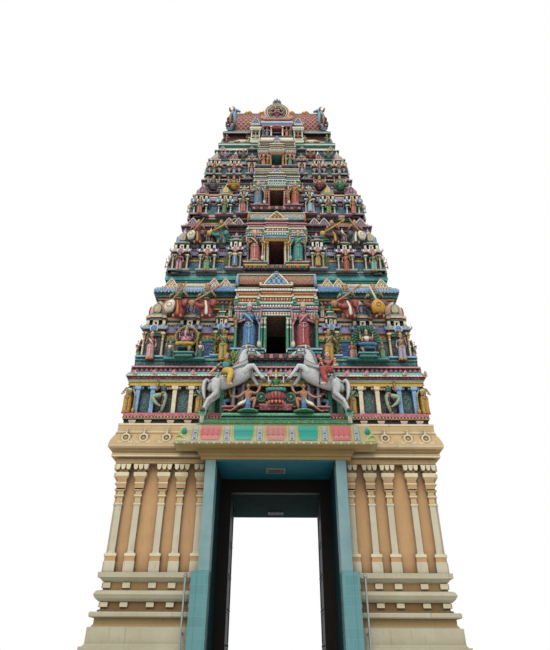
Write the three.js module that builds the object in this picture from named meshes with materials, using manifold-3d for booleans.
// Gopuram: the five-tier gateway tower of a South Indian temple, in millimetres, +Z up.
// The front faces -Y, and the origin lies on the ground under the middle of the passage.
import * as THREE from 'three';
import { mergeVertices } from 'three/addons/utils/BufferGeometryUtils.js';
import Module from 'manifold-3d';

const wasm = await Module();
wasm.setup();

// Driving dimensions of the whole tower
const SEAT = 0.3; // joint between separate pieces
const HALF_WIDTH = 3770;
const HALF_DEPTH = 2540;
const SIDE_TO_FRONT = HALF_WIDTH - HALF_DEPTH; // each storey steps in alike on all four sides
const WALL = 450;

// Ground storey
const PLINTH_TOP = 3280;
const WALL_TOP = 5720;
const PASSAGE_HALF = 1436;
const JAMB = 244;
const JAMB_OUT = PASSAGE_HALF + JAMB;
const PORTAL_FRONT = HALF_DEPTH + 450;
const LINTEL_TOP = 5950;
const FLOOR_TOP = 80;
const FRAME_HALF = 1150;
const FRAME_HEAD = 5350;
const FRAME_FRONT = -1430;
const FRAME_BACK = -1250;
const LEAF_THICK = 70;
const LEAF_CLEAR = 8;
const HINGE_RADIUS = 36;
const HINGE_X = FRAME_HALF + 70;
const HINGE_Y = FRAME_BACK + 60;
const LEAF_LENGTH = HINGE_X - LEAF_CLEAR;

// Statue shelf over the portal
const CORNICE_REACH = 352; // the ground cornice's curved eave stands this far out of the wall
const LEDGE_REACH = 215;
const CANOPY_BACK = HALF_DEPTH + CORNICE_REACH + SEAT;
const CANOPY_TIP = 3440;
const CANOPY_TOP = 6500;
const CANOPY_HALF = 2420;
const GROUP_BACK = HALF_DEPTH + LEDGE_REACH + SEAT;
const GROUP_FRONT = 3220;
const GROUP_MIDDLE = 3000;
const PEDESTAL_TOP = 6925;

// Frieze storey
const GROUND_CORNICE_TOP = 6820;
const FRIEZE_TOP = 8045;

// Each tier: heights of its floor, door sill and head, eaves and deck of the small shrines, and cornice,
// then half widths of foot, wall, shrine bays, upper wall and cornice tip, and the middle porch and its barrel.
const TIERS = [
  {
    floor: 8560, sill: 8780, head: 10146, eaves: 9620, deck: 10130, soffit: 10950, tip: 11014, crest: 11270,
    foot: 3850, face: 3500, bay: 3780, upper: 3350, cornice: 3690, wall: 320,
    door: 282, porch: 1230, porchTop: 11163, barrelTop: 11690, dome: 540, bays: [2500, 1550],
  },
  {
    floor: 11650, sill: 12178, head: 13294, eaves: 12780, deck: 13060, soffit: 13900, tip: 14060, crest: 14200,
    foot: 3450, face: 3130, bay: 3400, upper: 3000, cornice: 3220, wall: 300,
    door: 250, porch: 1000, porchTop: 14147, barrelTop: 14541, dome: 420, bays: [2190, 1320],
  },
  {
    floor: 14500, sill: 15027, head: 15988, eaves: 15560, deck: 15800, soffit: 16580, tip: 16700, crest: 16820,
    foot: 3060, face: 2780, bay: 3010, upper: 2650, cornice: 2800, wall: 280,
    door: 240, porch: 850, porchTop: 16751, barrelTop: 17010, dome: 360, bays: [1890, 1160],
  },
  {
    floor: 17000, sill: 17476, head: 18266, eaves: 17920, deck: 18120, soffit: 18560, tip: 18670, crest: 18780,
    foot: 2700, face: 2430, bay: 2650, upper: 2330, cornice: 2460, wall: 260,
    door: 200, porch: 740, porchTop: 18760, barrelTop: 19010, dome: 300, bays: [1590, 950],
  },
];
const ATTIC = { floor: 19150, sill: 19680, head: 20230, top: 20260, foot: 2340, face: 2050, wall: 260, door: 190 };
const EAVE = { tip: 20100, rim: 2230, top: 20420 };
const VAULT = { half: 1730, spring: 800, bulge: 960, bulgeAt: 20980, ridge: 22050 };
const GABLE_OUT = 2090;
const FINIAL_TOP = 22900;
const FINIAL_COUNT = 5;
const FINIAL_STEP = 640;

// Finishes of the real surfaces
const FINISHES = {
  plaster: { color: 0xcfc09a, roughness: 0.85, metalness: 0 },
  ochre: { color: 0xb98a4a, roughness: 0.85, metalness: 0 },
  bluegrey: { color: 0x6e949c, roughness: 0.6, metalness: 0 },
  teal: { color: 0x3f8f8c, roughness: 0.75, metalness: 0 },
  maroon: { color: 0x7a3a3c, roughness: 0.75, metalness: 0 },
  blue: { color: 0x5b8fb0, roughness: 0.75, metalness: 0 },
  mauve: { color: 0xa77f94, roughness: 0.75, metalness: 0 },
  timber: { color: 0x10181c, roughness: 0.5, metalness: 0 },
  stone: { color: 0x8f8d84, roughness: 0.8, metalness: 0 },
  steel: { color: 0xb9bcbe, roughness: 0.25, metalness: 1 },
  statue: { color: 0xc9ccc8, roughness: 0.6, metalness: 0 },
  gilt: { color: 0xc79a3e, roughness: 0.35, metalness: 1 },
};
for (const finish of Object.values(FINISHES)) {
  finish.material = new THREE.MeshStandardMaterial({
    color: finish.color, roughness: finish.roughness, metalness: finish.metalness, flatShading: true,
  });
}

const gopuram = new THREE.Group();

// A closed geometry as a solid that can be joined and cut
function solid(geometry) {
  const bare = geometry.clone();
  bare.deleteAttribute('normal');
  bare.deleteAttribute('uv');
  const merged = mergeVertices(bare, 1e-3);
  return new wasm.Manifold(new wasm.Mesh({
    numProp: 3,
    vertProperties: merged.attributes.position.array,
    triVerts: new Uint32Array(merged.index.array),
  }));
}

function join(solids) {
  return solids.reduce((whole, piece) => whole.add(piece));
}

function place(name, body, finish) {
  const cut = body.getMesh();
  const geometry = new THREE.BufferGeometry();
  geometry.setAttribute('position', new THREE.BufferAttribute(new Float32Array(cut.vertProperties), 3));
  geometry.setIndex(new THREE.BufferAttribute(new Uint32Array(cut.triVerts), 1));
  const mesh = new THREE.Mesh(geometry, FINISHES[finish].material);
  mesh.name = name;
  gopuram.add(mesh);
  return mesh;
}

function block(x0, x1, y0, y1, z0, z1) {
  const geometry = new THREE.BoxGeometry(Math.abs(x1 - x0), Math.abs(y1 - y0), Math.abs(z1 - z0));
  geometry.translate((x0 + x1) / 2, (y0 + y1) / 2, (z0 + z1) / 2);
  return solid(geometry);
}

function ball(centre, radii, sides = 7, rings = 4) {
  const geometry = new THREE.SphereGeometry(1, sides, rings);
  geometry.rotateX(Math.PI / 2);
  geometry.scale(...radii);
  geometry.translate(...centre);
  return solid(geometry);
}

function limb(from, to, startRadius, endRadius, sides = 5) {
  const start = new THREE.Vector3(...from);
  const end = new THREE.Vector3(...to);
  const along = end.clone().sub(start);
  const geometry = new THREE.CylinderGeometry(endRadius, startRadius, along.length(), sides);
  const up = new THREE.Vector3(0, 1, 0);
  geometry.applyQuaternion(new THREE.Quaternion().setFromUnitVectors(up, along.clone().normalize()));
  geometry.translate(...start.add(end).multiplyScalar(0.5).toArray());
  return solid(geometry);
}

// A turned shape: its profile is a list of [radius, height], from the axis back to the axis
function turned(x, y, z, profile, sides) {
  const points = profile.map(([radius, height]) => new THREE.Vector2(radius, height));
  const geometry = new THREE.LatheGeometry(points, sides);
  geometry.rotateX(Math.PI / 2);
  geometry.translate(x, y, z);
  return solid(geometry);
}

// A moulding that runs round a rectangle: the profile is a list of [height, projection].
// The sides named in plain stay flat, because they meet another piece.
function moulded(rect, profile, plain = {}) {
  const positions = [];
  for (const [z, out] of profile) {
    const x0 = rect.x0 - (plain.x0 ? 0 : out);
    const x1 = rect.x1 + (plain.x1 ? 0 : out);
    const y0 = rect.y0 - (plain.y0 ? 0 : out);
    const y1 = rect.y1 + (plain.y1 ? 0 : out);
    positions.push(x0, y0, z, x1, y0, z, x1, y1, z, x0, y1, z);
  }
  const faces = [0, 2, 1, 0, 3, 2];
  const last = 4 * (profile.length - 1);
  for (let level = 0; level < last; level += 4) {
    for (let side = 0; side < 4; side++) {
      const a = level + side;
      const b = level + ((side + 1) % 4);
      faces.push(a, b, b + 4, a, b + 4, a + 4);
    }
  }
  faces.push(last, last + 1, last + 2, last, last + 2, last + 3);
  const geometry = new THREE.BufferGeometry();
  geometry.setAttribute('position', new THREE.Float32BufferAttribute(positions, 3));
  geometry.setIndex(faces);
  return solid(geometry.toNonIndexed());
}

function around(halfWidth, halfDepth = halfWidth - SIDE_TO_FRONT) {
  return { x0: -halfWidth, x1: halfWidth, y0: -halfDepth, y1: halfDepth };
}

// An outline in the YZ plane, extruded along X between two ends
function alongX(outline, x0, x1) {
  const shape = new THREE.Shape(outline.map(([y, z]) => new THREE.Vector2(y, z)));
  const geometry = new THREE.ExtrudeGeometry(shape, { depth: x1 - x0, bevelEnabled: false });
  geometry.applyMatrix4(new THREE.Matrix4().set(0, 0, 1, x0, 1, 0, 0, 0, 0, 1, 0, 0, 0, 0, 0, 1));
  return solid(geometry);
}

// An outline in the XZ plane, extruded along Y between two ends
function alongY(outline, y0, y1) {
  const shape = new THREE.Shape(outline.map(([x, z]) => new THREE.Vector2(x, z)));
  const geometry = new THREE.ExtrudeGeometry(shape, { depth: y1 - y0, bevelEnabled: false });
  geometry.rotateX(Math.PI / 2);
  geometry.translate(0, y1, 0);
  return solid(geometry);
}

const SIDES = [['left', -1], ['right', 1]];
const ENDS = [['front', -1], ['back', 1]];

// Plinth: one moulded mass of masonry on each side of the passage
const PLINTH_PROFILE = [
  [0, 360], [340, 360], [340, 310], [1100, 300], [1100, 340], [1180, 362], [1280, 362], [1360, 340],
  [1360, 240], [1620, 240], [1620, 300], [1740, 300], [1740, 275], [1860, 275], [1860, 225], [1914, 185],
  [2214, 185], [2214, 135], [2280, 90], [2397, 90], [2397, 172], [2420, 192], [2480, 192], [2503, 172],
  [2503, 65], [2536, 65], [2560, 15], [2689, 15], [2710, 70], [2760, 130], [2835, 172], [2910, 130],
  [2935, 20], [3080, 20], [3110, 50], [3174, 110], [3174, 145], [PLINTH_TOP, 145],
];

function buildPlinth() {
  for (const [side, sign] of SIDES) {
    const inner = JAMB_OUT + SEAT;
    const rect = sign < 0
      ? { x0: -HALF_WIDTH, x1: -inner, y0: -HALF_DEPTH, y1: HALF_DEPTH }
      : { x0: inner, x1: HALF_WIDTH, y0: -HALF_DEPTH, y1: HALF_DEPTH };
    const plain = sign < 0 ? { x1: true } : { x0: true };
    place(`plinth_${side}`, moulded(rect, PLINTH_PROFILE, plain), 'plaster');
  }
}

// Ground-storey walls, with the cores of their pilasters
const PILASTER_X = [3710, 3280, 2710, 2280, 1800];
const SIDE_PILASTER_Y = [2480, 2050, 1300, 430];
const PILASTER = {
  foot: { top: 3650, half: 112, out: 90 },
  shaft: { top: 5100, half: 62, out: 62 },
  cap: { top: WALL_TOP, half: 110, out: 105 },
};

function pilasterCore(along, face, outward, acrossX) {
  const parts = [];
  let base = PLINTH_TOP + SEAT;
  for (const { top, half, out } of Object.values(PILASTER)) {
    const near = face - outward * 20;
    const far = face + outward * out;
    parts.push(acrossX
      ? block(along - half, along + half, near, far, base, top)
      : block(near, far, along - half, along + half, base, top));
    base = top - SEAT;
  }
  return join(parts);
}

function buildGroundWalls() {
  const base = PLINTH_TOP + SEAT;
  for (const [side, sign] of SIDES) {
    for (const [end, back] of ENDS) {
      const inner = sign * (JAMB_OUT + SEAT);
      const face = back * HALF_DEPTH;
      const wall = block(inner, sign * HALF_WIDTH, face, back * (HALF_DEPTH - WALL), base, WALL_TOP);
      const cores = PILASTER_X.map((x) => pilasterCore(sign * x, face, back, true));
      place(`${end}_wall_${side}`, join([wall, ...cores]), 'ochre');
    }
    const depth = HALF_DEPTH - WALL - SEAT;
    const face = sign * HALF_WIDTH;
    const wall = block(sign * (HALF_WIDTH - WALL), face, -depth, depth, base, WALL_TOP);
    const places = SIDE_PILASTER_Y.flatMap((y) => [y, -y]).filter((y) => Math.abs(y) < depth - 120);
    const cores = places.map((y) => pilasterCore(y, face, sign, false));
    place(`side_wall_${side}`, join([wall, ...cores]), 'ochre');
    const passage = block(sign * PASSAGE_HALF, sign * JAMB_OUT, -HALF_DEPTH, HALF_DEPTH, 0, WALL_TOP);
    place(`passage_wall_${side}`, passage, 'bluegrey');
  }
}

// Portal: two square jambs and a lintel in front of the wall, at both ends of the passage
function buildPortals() {
  for (const [end, back] of ENDS) {
    const near = back * (HALF_DEPTH + SEAT);
    const far = back * PORTAL_FRONT;
    const outer = block(-JAMB_OUT, JAMB_OUT, near, far, 0, LINTEL_TOP);
    const opening = block(-PASSAGE_HALF, PASSAGE_HALF, near - back * 50, far + back * 50, -50, WALL_TOP);
    place(`portal_${end}`, outer.subtract(opening), 'bluegrey');
  }
}

// Passage floor, door frame and two leaves, which stand open against the passage
function buildDoor() {
  const clear = PASSAGE_HALF - SEAT;
  place('passage_floor', block(-clear, clear, -PORTAL_FRONT, PORTAL_FRONT, 0, FLOOR_TOP), 'stone');
  const foot = FLOOR_TOP + SEAT;
  const frame = block(-clear, clear, FRAME_FRONT, FRAME_BACK, foot, WALL_TOP - SEAT);
  const way = block(-FRAME_HALF, FRAME_HALF, FRAME_FRONT - 50, FRAME_BACK + 50, foot - 50, FRAME_HEAD);
  place('door_frame', frame.subtract(way), 'timber');
  const bottom = FLOOR_TOP + 12;
  const top = FRAME_HEAD + 50;
  for (const [side, sign] of SIDES) {
    const hingeX = sign * HINGE_X;
    const leaf = block(
      hingeX - sign * LEAF_THICK / 2, hingeX + sign * LEAF_THICK / 2,
      HINGE_Y, HINGE_Y + LEAF_LENGTH, bottom, top,
    );
    const pin = limb([hingeX, HINGE_Y, foot], [hingeX, HINGE_Y, top], HINGE_RADIUS, HINGE_RADIUS, 12);
    place(`door_leaf_${side}`, leaf.add(pin), 'timber');
  }
}

// Steel posts in front of the plinth
function buildPosts() {
  const POST = { x: 1930, y: -3010, radius: 24, top: 3150, ball: 45, bracket: 2100 };
  for (const [side, sign] of SIDES) {
    const x = sign * POST.x;
    place(`post_${side}`, join([
      limb([x, POST.y, 0], [x, POST.y, POST.top], POST.radius, POST.radius, 8),
      limb([x, POST.y, 0], [x, POST.y, 12], 70, 70, 8),
      ball([x, POST.y, POST.top + 25], [POST.ball, POST.ball, POST.ball], 8, 6),
      block(x - 12, x + 12, POST.y, -HALF_DEPTH - 185 - SEAT, POST.bracket - 12, POST.bracket + 12),
    ]), 'steel');
  }
}

// Ground cornice: architrave bands, heavy curved eave and ledge, as one slab over walls and passage
function buildGroundCornice() {
  const slab = moulded(around(HALF_WIDTH), [
    [WALL_TOP + SEAT, 150], [5835, 150], [5835, 120], [5857, 120], [5857, 250], [5950, 250], [5950, 205],
    [6030, 240], [6050, 330], [6085, CORNICE_REACH], [6130, 350], [6210, 336], [6290, 310], [6370, 275], [6440, 235],
    [6480, LEDGE_REACH], [6730, LEDGE_REACH], [6730, 130], [GROUND_CORNICE_TOP, 130],
  ]);
  const portals = ENDS.map(([, back]) => block(
    -JAMB_OUT - SEAT, JAMB_OUT + SEAT, back * HALF_DEPTH, back * (PORTAL_FRONT + 50),
    WALL_TOP - 50, LINTEL_TOP + SEAT,
  ));
  place('ground_cornice', slab.subtract(join(portals)), 'plaster');
}

// Canopy over the portal: a curved painted hood that carries the statues
function buildCanopies() {
  for (const [end, back] of ENDS) {
    const section = [
      [CANOPY_BACK, CANOPY_TOP], [CANOPY_BACK, LINTEL_TOP + SEAT], [PORTAL_FRONT + 20, LINTEL_TOP + SEAT],
      [CANOPY_TIP - 60, 5965], [CANOPY_TIP, 5985],
      [CANOPY_TIP - 8, 6060], [CANOPY_TIP - 45, 6160], [CANOPY_TIP - 100, 6270], [CANOPY_TIP - 160, 6390],
      [CANOPY_TIP - 185, CANOPY_TOP],
    ];
    const hood = alongX(section.map(([y, z]) => [back * y, z]), -CANOPY_HALF, CANOPY_HALF);
    // The hood's ends slope in towards the top
    const slope = [
      [-CANOPY_HALF, 5900], [CANOPY_HALF, 5900], [CANOPY_HALF, 6120], [2230, CANOPY_TOP + 50],
      [-2230, CANOPY_TOP + 50], [-CANOPY_HALF, 6120],
    ];
    place(`canopy_${end}`, hood.intersect(alongY(slope, -CANOPY_TIP - 100, CANOPY_TIP + 100)), 'teal');
  }
}

// A seated or standing figure's parts are tapered limbs and rounded masses, with the face left plain.
// Points are [across, towards the viewer, up] and are mirrored for the other side or end.
function figureKit(signX, back) {
  const at = ([x, y, z]) => [signX * x, back * y, z];
  return {
    ball: (centre, radii) => ball(at(centre), radii),
    limb: (from, to, startRadius, endRadius, sides) => limb(at(from), at(to), startRadius, endRadius, sides),
  };
}

// Statue group: stepped base, lotus seat with a goddess, and two squatting strongmen under the horses
function buildStatueGroups() {
  const lift = CANOPY_TOP + SEAT;
  for (const [end, back] of ENDS) {
    const rear = back * GROUP_BACK;
    const front = back * GROUP_FRONT;
    const parts = [
      block(-1780, 1780, rear, front, lift, 6640),
      block(-1270, 1270, rear, front - back * 60, 6630, 6860),
      block(-1190, 1190, rear, front - back * 120, 6850, 7110),
      turned(0, back * GROUP_MIDDLE, 0, [[0, 7100], [215, 7100], [255, 7200], [190, 7290], [255, 7400], [230, 7490],
        [0, 7500]], 10),
    ];
    const centre = figureKit(1, back);
    parts.push(
      centre.ball([0, GROUP_MIDDLE + 20, 7550], [265, 150, 85]),
      centre.limb([0, GROUP_MIDDLE, 7500], [0, GROUP_MIDDLE, 7880], 115, 100),
      centre.ball([0, GROUP_MIDDLE + 10, 7960], [72, 78, 100]),
      centre.limb([0, GROUP_MIDDLE, 8000], [0, GROUP_MIDDLE, 8150], 70, 20),
    );
    for (const sign of [-1, 1]) {
      const half = figureKit(sign, back);
      parts.push(
        block(sign * 1740, sign * 1940, rear, front - back * 20, lift, PEDESTAL_TOP),
        half.limb([200, GROUP_MIDDLE + 60, 7165], [960, GROUP_MIDDLE + 60, 7165], 70, 60),
        half.ball([660, GROUP_MIDDLE, 7200], [150, 120, 120]),
        half.limb([650, GROUP_MIDDLE, 7200], [670, GROUP_MIDDLE, 7490], 90, 100),
        half.ball([670, GROUP_MIDDLE + 10, 7560], [74, 80, 100]),
        half.limb([640, GROUP_MIDDLE, 7420], [380, GROUP_MIDDLE + 20, 7580], 48, 32, 4),
        half.limb([700, GROUP_MIDDLE, 7420], [960, GROUP_MIDDLE + 20, 7500], 48, 32, 4),
      );
    }
    place(`statue_group_${end}`, join(parts), 'teal');
  }
}

// Rearing horse with its rider, hind hooves on the pedestal at the end of the base
function buildHorses() {
  for (const [end, back] of ENDS) {
    for (const [side, sign] of SIDES) {
      const kit = figureKit(sign, back);
      const y = GROUP_MIDDLE - 10;
      const foot = PEDESTAL_TOP + SEAT;
      const ankle = foot + 40;
      place(`horse_${end}_${side}`, join([
        kit.limb([1590, y, 7700], [1450, y, 7780], 130, 215, 7),
        kit.limb([1450, y, 7780], [820, y, 8090], 220, 190, 7),
        kit.limb([960, y, 8080], [840, y, 8540], 165, 95),
        kit.limb([880, y, 8580], [480, y, 8560], 110, 50),
        kit.limb([860, y, 8620], [840, y, 8760], 45, 12, 4),
        kit.limb([920, y + 70, 7990], [620, y + 70, 8120], 80, 52, 4),
        kit.limb([640, y + 70, 8140], [400, y + 70, 7840], 52, 34, 4),
        kit.limb([920, y - 70, 7950], [640, y - 70, 7990], 80, 52, 4),
        kit.limb([660, y - 70, 8010], [440, y - 70, 7760], 52, 34, 4),
        kit.limb([1480, y + 80, 7720], [1560, y + 80, 7340], 120, 55, 4),
        kit.limb([1550, y + 80, 7380], [1830, y + 80, ankle], 55, 40, 4),
        kit.limb([1830, y + 80, foot], [1830, y + 80, ankle + 40], 52, 40),
        kit.limb([1480, y - 80, 7720], [1500, y - 80, 7320], 120, 55, 4),
        kit.limb([1490, y - 80, 7360], [1800, y - 80, ankle], 55, 40, 4),
        kit.limb([1800, y - 80, foot], [1800, y - 80, ankle + 40], 52, 40),
        kit.limb([1620, y, 7850], [1780, y, 7480], 55, 30, 4),
        kit.limb([1200, y, 7980], [1250, y, 8520], 130, 90),
        kit.ball([1250, y, 8600], [76, 82, 105]),
        kit.limb([1250, y, 8640], [1250, y, 8800], 70, 20, 4),
        kit.limb([1180, y + 130, 8030], [1080, y + 190, 7780], 75, 50, 4),
        kit.limb([1180, y - 130, 8030], [1080, y - 190, 7780], 75, 50, 4),
      ]), 'statue');
    }
  }
}

// Frieze storey: base ledge, recessed wall, beam and cornice, then the slab that floors tier one
const FRIEZE_PIER_X = [3660, 3260, 2680, 2240];
const FRIEZE_PIER_Y = [2430, 1650, 600];

function buildFrieze() {
  const walls = moulded(around(HALF_WIDTH), [
    [GROUND_CORNICE_TOP + SEAT, 100], [6870, 160], [7040, 160], [7040, -60], [7820, -60], [7820, 120],
    [7920, 120], [7920, 140], [8000, 190], [FRIEZE_TOP, 200],
  ]);
  const inside = around(HALF_WIDTH - 60 - WALL);
  const room = block(inside.x0, inside.x1, inside.y0, inside.y1, GROUND_CORNICE_TOP - 50, FRIEZE_TOP + 50);
  const piers = [];
  for (const signX of [-1, 1]) {
    for (const signY of [-1, 1]) {
      for (const x of FRIEZE_PIER_X) {
        const y = signY * (HALF_DEPTH + 40);
        piers.push(block(signX * x - 45, signX * x + 45, y - 45, y + 45, 7030, 7830));
      }
      for (const y of FRIEZE_PIER_Y) {
        const x = signX * (HALF_WIDTH + 40);
        piers.push(block(x - 45, x + 45, signY * y - 45, signY * y + 45, 7030, 7830));
      }
    }
  }
  place('frieze_walls', join([walls, ...piers]).subtract(room), 'maroon');
  place('frieze_cornice', moulded(around(HALF_WIDTH), [
    [FRIEZE_TOP + SEAT, 190], [8060, 232], [8090, 235], [8140, 215], [8190, 180], [8231, 140], [8231, 100],
    [8363, 100], [8363, 145], [8413, 145], [8413, 90], [TIERS[0].floor, 90],
  ]), 'teal');
}

// Small columns stand on a tier's foot and carry its shrines
function columnCores(tier) {
  const half = 32;
  const depth = tier.bay - SIDE_TO_FRONT;
  const base = tier.sill - 30;
  const top = tier.eaves - SEAT;
  const cornerIn = tier.bay - tier.dome;
  const alongFront = [tier.bay - 60, cornerIn - 20, tier.bays[0] + tier.dome / 2, tier.bays[0] - tier.dome / 2];
  const alongSide = [depth - tier.dome - 20, 0.2 * depth];
  const parts = [];
  for (const signX of [-1, 1]) {
    for (const signY of [-1, 1]) {
      for (const x of alongFront) {
        const y = signY * (depth - 60);
        parts.push(block(signX * x - half, signX * x + half, y - half, y + half, base, top));
      }
      for (const y of alongSide) {
        const x = signX * (tier.bay - 60);
        parts.push(block(x - half, x + half, signY * y - half, signY * y + half, base, top));
      }
    }
  }
  return join(parts);
}

// The porch beams lie on the doorway's head and above the shrines' deck
function porchBeamBase(tier) {
  return Math.max(tier.head, tier.deck + 20) + SEAT;
}

function buildTierWalls(tier, number) {
  const walls = moulded(around(tier.face), [
    [tier.floor + SEAT, tier.foot - tier.face - 60], [tier.floor + 60, tier.foot - tier.face - 60],
    [tier.floor + 100, tier.foot - tier.face], [tier.sill - 60, tier.foot - tier.face],
    [tier.sill, tier.foot - tier.face - 30], [tier.sill, 0], [tier.deck + 20, 0],
    [tier.deck + 20, tier.upper - tier.face], [tier.soffit, tier.upper - tier.face],
  ]);
  const inside = around(tier.upper - tier.wall);
  const room = block(inside.x0, inside.x1, inside.y0, inside.y1, tier.floor - 50, tier.soffit + 50);
  const reach = HALF_DEPTH + 500;
  const doorway = block(-tier.door, tier.door, -reach, reach, tier.sill, tier.head);
  // The porch columns flank the doorway and carry the porch roof
  const porch = [];
  const porchDepth = tier.face - SIDE_TO_FRONT + 210;
  for (const signY of [-1, 1]) {
    for (const x of [tier.porch - 70, -tier.porch + 70]) {
      const y = signY * porchDepth;
      porch.push(block(x - 36, x + 36, y - 36, y + 36, tier.sill - 60, porchBeamBase(tier) - SEAT));
    }
  }
  const whole = join([walls, columnCores(tier), ...porch]);
  place(`tier${number}_walls`, whole.subtract(join([room, doorway])), number % 2 ? 'teal' : 'maroon');
}

// A small shrine roof: a square eave, a neck and a ribbed dome with its finial
function shrineRoof(x, y, tier, width) {
  const half = width / 2;
  const eave = tier.eaves;
  const deck = tier.deck;
  const rise = deck - eave;
  const domeHeight = 0.78 * tier.dome;
  const rect = { x0: x - half, x1: x + half, y0: y - half, y1: y + half };
  return join([
    moulded(rect, [
      [eave, 10], [eave + 0.1 * rise, 75], [eave + 0.38 * rise, -50], [eave + 0.74 * rise, -50],
      [eave + 0.8 * rise, 0], [deck, 0],
    ]),
    turned(x, y, deck - 0.05 * domeHeight, [
      [0, 0], [half * 0.8, 0], [half * 0.98, domeHeight * 0.4], [half * 0.5, domeHeight * 0.85],
      [half * 0.15, domeHeight], [0, domeHeight * 1.35],
    ], 6),
  ]);
}

// Ring of small shrines that stands in front of the tier's wall, on the columns
function buildTierShrines(tier, number) {
  const depth = tier.bay - SIDE_TO_FRONT;
  const ring = moulded(around(tier.face), [
    [tier.eaves, 150], [tier.eaves + 40, 170], [tier.eaves + 110, 150], [tier.deck - 60, 130], [tier.deck, 150],
  ]);
  const wallOutline = around(tier.face + SEAT);
  const core = block(wallOutline.x0, wallOutline.x1, wallOutline.y0, wallOutline.y1, tier.eaves - 50, tier.deck + 50);
  const roofs = [];
  const half = tier.dome / 2;
  for (const signX of [-1, 1]) {
    for (const signY of [-1, 1]) {
      roofs.push(shrineRoof(signX * (tier.bay - half), signY * (depth - half), tier, tier.dome));
      roofs.push(shrineRoof(signX * tier.bays[0], signY * (depth - half * 0.9), tier, tier.dome * 0.9));
    }
    roofs.push(shrineRoof(signX * (tier.bay - half * 0.9), 0, tier, tier.dome * 0.9));
  }
  const reach = HALF_DEPTH + 500;
  // The ring stops on both sides of the porches
  const porch = block(-tier.porch, tier.porch, -reach, reach, tier.eaves - 50, tier.deck + 50);
  const whole = ring.subtract(porch).add(join(roofs));
  const walls = core.add(block(
    -tier.upper - SEAT, tier.upper + SEAT, -tier.upper + SIDE_TO_FRONT - SEAT, tier.upper - SIDE_TO_FRONT + SEAT,
    tier.eaves - 50, tier.soffit,
  ));
  const halves = whole.subtract(walls);
  for (const [side, sign] of SIDES) {
    const part = halves.intersect(block(sign * tier.porch * 0.5, sign * 6000, -6000, 6000, 0, 25000));
    place(`tier${number}_shrines_${side}`, part, 'blue');
  }
}

// Round barrel section, standing on two short legs at its base
function barrelSection(axis, base, top) {
  const radius = (top - base) / 2;
  const outline = [];
  for (let step = 0; step <= 8; step++) {
    const turn = (-0.12 + 1.24 * step / 8) * Math.PI;
    outline.push([axis + radius * 1.1 * Math.cos(turn), base + radius + radius * Math.sin(turn)]);
  }
  return [[axis + radius * 0.85, base - 20], ...outline, [axis - radius * 0.85, base - 20]];
}

// Cornice slab of a tier with its curved eave, the porch roofs and their barrels
function buildTierCornice(tier, number, above) {
  const nextFloor = above.floor;
  const nextFoot = above.foot - 60;
  const rect = around(tier.upper);
  const out = tier.cornice - tier.upper;
  const rise = tier.crest - tier.tip;
  const slab = moulded(rect, [
    [tier.soffit + SEAT, 20], [tier.soffit + 0.5 * (tier.tip - tier.soffit), 60], [tier.tip - 12, out - 60],
    [tier.tip, out], [tier.tip + 0.22 * rise, out - 8], [tier.tip + 0.5 * rise, 0.82 * out],
    [tier.tip + 0.8 * rise, 0.6 * out], [tier.crest, 0.42 * out], [tier.crest, nextFoot - tier.upper - 30],
    [tier.crest + 0.3 * (nextFloor - tier.crest), nextFoot - tier.upper - 30],
    [tier.crest + 0.3 * (nextFloor - tier.crest), nextFoot - tier.upper - 110],
    [tier.crest + 0.6 * (nextFloor - tier.crest), nextFoot - tier.upper - 110],
    [tier.crest + 0.6 * (nextFloor - tier.crest), nextFoot - tier.upper],
    [nextFloor, nextFoot - tier.upper],
  ]);
  const parts = [slab];
  const front = tier.face - SIDE_TO_FRONT + 270;
  const porchBase = porchBeamBase(tier);
  const porchBack = tier.upper - SIDE_TO_FRONT + SEAT;
  const radius = (tier.barrelTop - tier.porchTop) / 2;
  for (const back of [-1, 1]) {
    const y = back * front;
    const inner = back * porchBack;
    parts.push(block(-tier.porch + 40, tier.porch - 40, inner, y - back * 60, porchBase, porchBase + 110));
    parts.push(block(-tier.porch, tier.porch, inner, y, porchBase + 100, tier.soffit));
    parts.push(block(-tier.porch + 30, tier.porch - 30, inner, y - back * 20, tier.soffit - 20, tier.porchTop + 20));
    const section = barrelSection(back * (front - radius * 1.1), tier.porchTop, tier.barrelTop);
    parts.push(alongX(section, -tier.porch + 40, tier.porch - 40));
  }
  // The barrels stop short of the foot of the storey above
  const foot = around(above.foot + SEAT);
  const room = block(foot.x0, foot.x1, foot.y0, foot.y1, nextFloor, nextFloor + 1000);
  place(`tier${number}_cornice`, join(parts).subtract(room), ['blue', 'mauve', 'teal', 'teal'][number - 1]);
}

// Attic storey under the great vault
function buildAttic() {
  const walls = moulded(around(ATTIC.face), [
    [ATTIC.floor + SEAT, ATTIC.foot - ATTIC.face - 40], [ATTIC.floor + 60, ATTIC.foot - ATTIC.face],
    [19350, ATTIC.foot - ATTIC.face], [19350, 150], [ATTIC.sill - 100, 150], [ATTIC.sill, 120], [ATTIC.sill, 0],
    [ATTIC.top, 0],
  ]);
  const inside = around(ATTIC.face - ATTIC.wall);
  const room = block(inside.x0, inside.x1, inside.y0, inside.y1, ATTIC.floor - 50, ATTIC.top + 50);
  const doorway = block(-ATTIC.door, ATTIC.door, -2000, 2000, ATTIC.sill, ATTIC.head);
  place('attic_walls', walls.subtract(join([room, doorway])), 'maroon');
  const out = EAVE.rim - ATTIC.face;
  place('attic_eave', moulded(around(ATTIC.face), [
    [ATTIC.top + SEAT, -20], [ATTIC.top + SEAT, 20], [EAVE.tip + 20, out - 50], [EAVE.tip, out - 10],
    [EAVE.tip + 40, out], [EAVE.tip + 130, out - 15], [EAVE.tip + 210, out - 60], [EAVE.top - 60, out - 110],
    [EAVE.top, out - 120],
  ]), 'teal');
}

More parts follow.
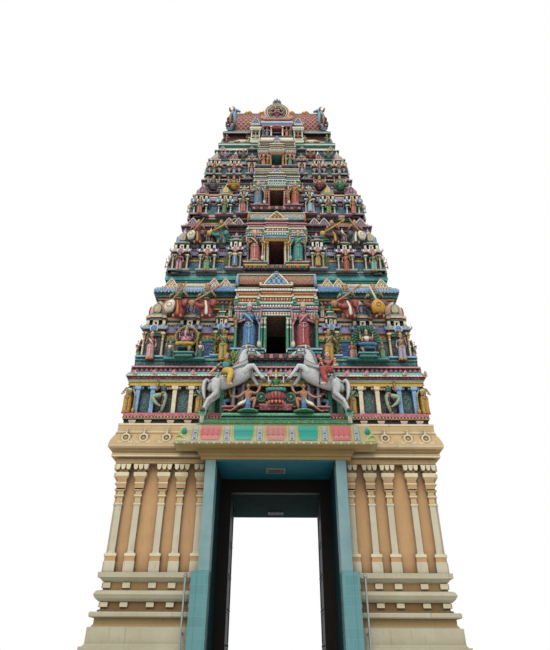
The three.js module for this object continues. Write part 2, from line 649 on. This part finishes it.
// The vault's horseshoe section, from one springing over the ridge to the other
function vaultSection(grow) {
  const outline = [[-VAULT.spring - grow, EAVE.top + SEAT]];
  const rise = VAULT.ridge + grow - VAULT.bulgeAt;
  for (let step = -2; step <= 10; step++) {
    const turn = (step / 10) * (Math.PI / 2);
    const y = (VAULT.bulge + grow) * Math.cos(turn);
    const z = VAULT.bulgeAt + (step < 0 ? (VAULT.bulgeAt - EAVE.top) : rise) * Math.sin(turn);
    outline.push([-y, z]);
  }
  const mirrored = outline.slice(0, -1).reverse().map(([y, z]) => [-y, z]);
  return [...outline, ...mirrored].reverse();
}

// A horseshoe arch on the front or back of the vault, with its leaf-shaped tip
function archOutline(half, base, top) {
  const outline = [];
  for (let step = 0; step <= 12; step++) {
    const turn = (-0.22 + 1.44 * step / 12) * Math.PI;
    const round = [half * Math.cos(turn), base + half * 0.95 + half * 0.95 * Math.sin(turn)];
    outline.push(round);
    if (step === 6) {
      outline.pop();
      outline.push([70, base + half * 1.86], [90, top - 140], [0, top], [-90, top - 140], [-70, base + half * 1.86]);
    }
  }
  return [[half * 0.7, base], ...outline, [-half * 0.7, base]];
}

function buildRoof() {
  const shell = 160;
  const vault = alongX(vaultSection(0), -VAULT.half, VAULT.half);
  const hollow = alongX(vaultSection(-shell), -VAULT.half - 50, VAULT.half + 50);
  place('roof_vault', vault.subtract(hollow.translate([0, 0, -30])), 'maroon');
  for (const [side, sign] of SIDES) {
    const near = sign * (VAULT.half + SEAT);
    const far = sign * GABLE_OUT;
    place(`gable_${side}`, alongX(vaultSection(40), Math.min(near, far), Math.max(near, far)), 'blue');
  }
  for (const [end, back] of ENDS) {
    const arch = alongY(archOutline(560, EAVE.top + SEAT, 22380), -1330, 1330);
    const keep = block(-700, 700, back * 600, back * 1240, EAVE.top, 22500);
    const vaultBody = alongX(vaultSection(SEAT), -VAULT.half, VAULT.half);
    place(`arch_${end}`, arch.intersect(keep).subtract(vaultBody), 'ochre');
  }
  const ridgeTop = VAULT.ridge + 45;
  const strip = moulded(
    { x0: -FINIAL_STEP * 2 - 160, x1: FINIAL_STEP * 2 + 160, y0: -110, y1: 110 },
    [[VAULT.ridge - 60, 0], [ridgeTop, 0], [ridgeTop + 30, -30]],
  );
  const profile = [
    [0, -20], [110, -20], [60, 90], [150, 230], [150, 310], [45, 430], [70, 480], [34, 560],
    [0, FINIAL_TOP - ridgeTop],
  ];
  const finials = [];
  for (let index = 0; index < FINIAL_COUNT; index++) {
    const x = (index - (FINIAL_COUNT - 1) / 2) * FINIAL_STEP;
    finials.push(turned(x, 0, ridgeTop, profile, 8));
  }
  const vaultBody = alongX(vaultSection(SEAT), -VAULT.half * 1.2, VAULT.half * 1.2);
  place('ridge_finials', join([strip, ...finials]).subtract(vaultBody), 'gilt');
}

buildPlinth();
buildGroundWalls();
buildPortals();
buildDoor();
buildPosts();
buildGroundCornice();
buildCanopies();
buildStatueGroups();
buildHorses();
buildFrieze();
TIERS.forEach((tier, index) => {
  const above = TIERS[index + 1] ?? ATTIC;
  buildTierWalls(tier, index + 1);
  buildTierShrines(tier, index + 1);
  buildTierCornice(tier, index + 1, above);
});
buildAttic();
buildRoof();

export default gopuram;
